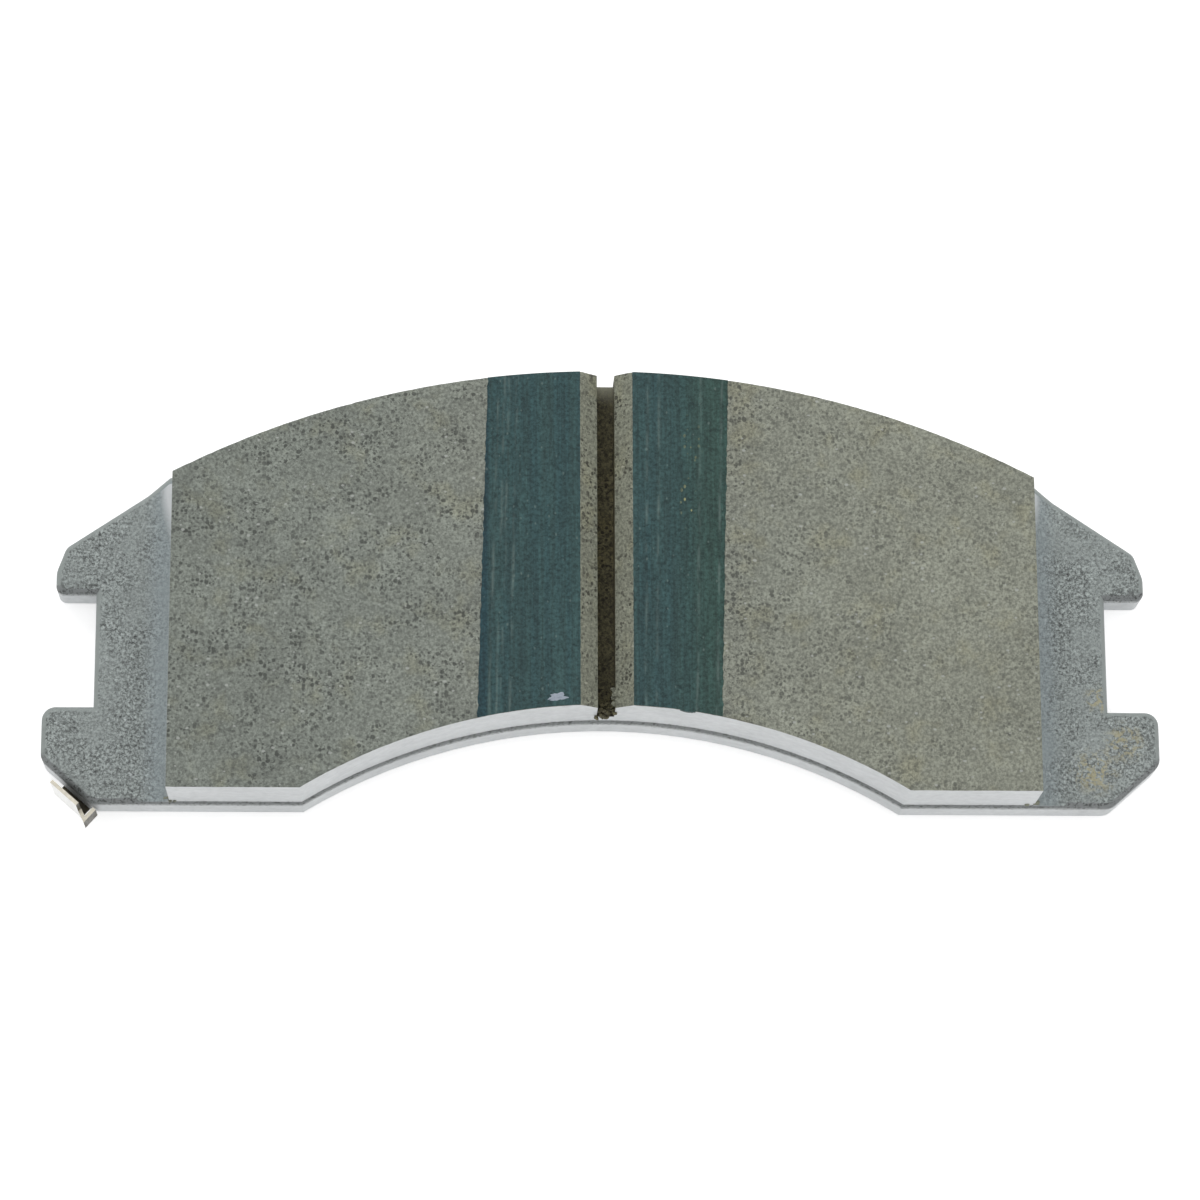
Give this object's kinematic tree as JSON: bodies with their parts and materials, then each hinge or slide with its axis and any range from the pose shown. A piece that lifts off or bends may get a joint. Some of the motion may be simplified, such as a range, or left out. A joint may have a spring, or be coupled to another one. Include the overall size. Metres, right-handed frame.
{
  "type": "disc brake pad",
  "caption": "Disc brake pad: friction block with a centre slot on a steel plate with notched ears, a bonded shim and a folded wear indicator.",
  "frame": {"origin": "on the back face of the shim, at mid length, level with the middle of the two ear notches", "axes": "+X along the length of the pad, +Y radially outward from the rotor axis, +Z from the piston side to the rotor; the pad lies on its back"},
  "size_m": [0.1466, 0.0592, 0.0156],
  "materials": {
    "plate_paint": "thin blue-grey paint with dark speckle over shot-blasted steel",
    "underlayer": "pressed fibre and resin compound",
    "friction": "ground ceramic friction compound with fine dark and pale specks",
    "burnish_coating": "thin dark teal abrasive coating, wiped on in streaks",
    "passivated_steel": "spring steel with pale yellow passivation",
    "rivet_steel": "zinc plated",
    "shim_adhesive": "pressure-sensitive adhesive film",
    "shim_rubber": "smooth nitrile coating",
    "shim_steel": "cold-rolled strip"
  },
  "bodies": {
    "root": {"backing_plate": "plate_paint", "underlayer": "underlayer", "friction_block": "friction", "coating_stripe_left": "burnish_coating", "coating_stripe_right": "burnish_coating", "wear_indicator": "passivated_steel", "wear_indicator_rivet": "rivet_steel", "shim_adhesive": "shim_adhesive", "shim_damping_layer": "shim_rubber", "shim_steel_core": "shim_steel", "shim_outer_coat": "shim_rubber"}
  },
  "joints": []
}
